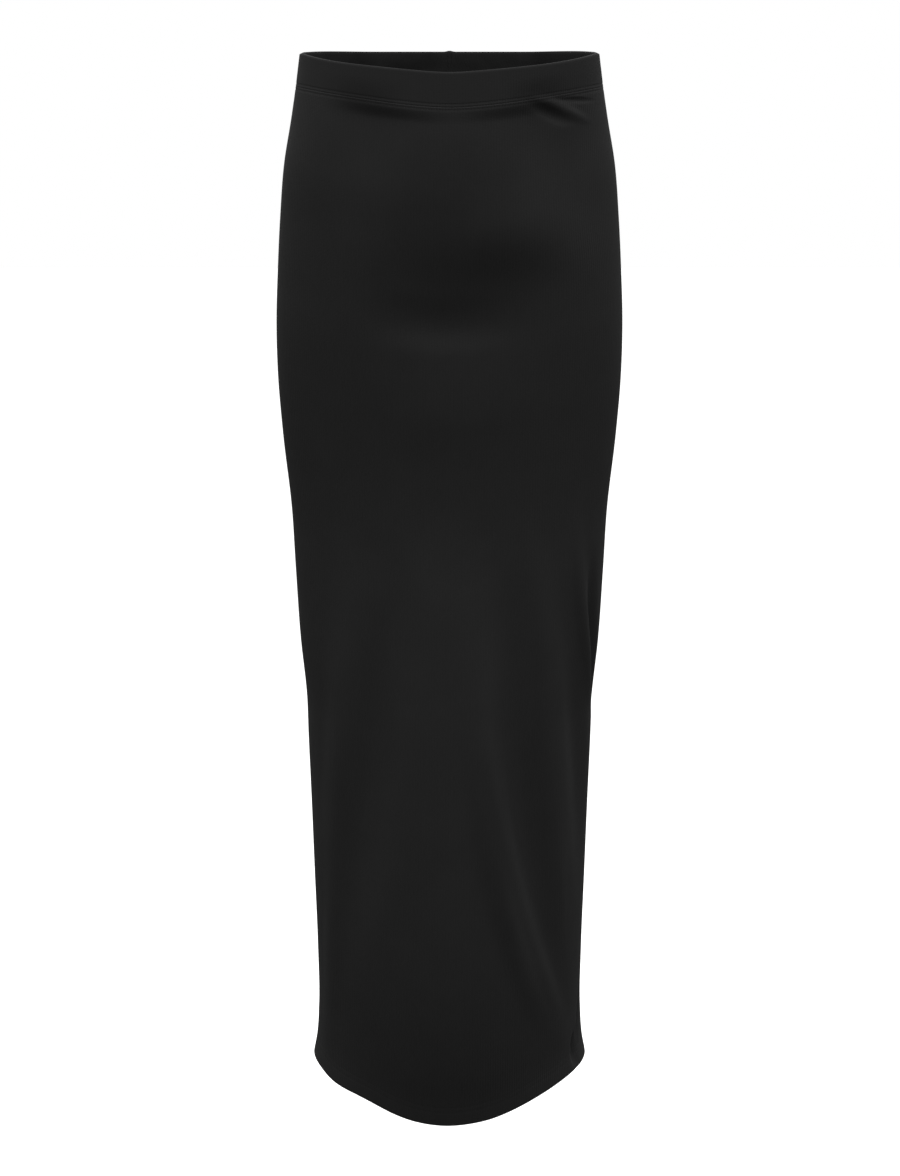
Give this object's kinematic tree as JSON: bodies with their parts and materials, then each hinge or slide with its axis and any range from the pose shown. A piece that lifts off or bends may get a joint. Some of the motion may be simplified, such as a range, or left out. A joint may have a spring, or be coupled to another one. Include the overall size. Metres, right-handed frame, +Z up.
{
  "type": "column skirt",
  "caption": "Long narrow pull-on skirt in fine black rib jersey, with an elasticated waistband and a plain turned-up hem, filled out as if worn.",
  "frame": {"origin": "centre of the waist opening, level with the waistband's top edge at the side seams", "axes": "+Z up, the front of the skirt faces -Y, the side seams lie on +X and -X"},
  "size_m": [0.3314, 0.2436, 1.0311],
  "materials": {
    "jersey": "matt black fine rib jersey with a faint soft sheen",
    "waistband_jersey": "the same jersey folded over elastic"
  },
  "bodies": {
    "root": {"front_panel": "jersey", "back_panel": "jersey", "waistband": "waistband_jersey"}
  },
  "joints": []
}
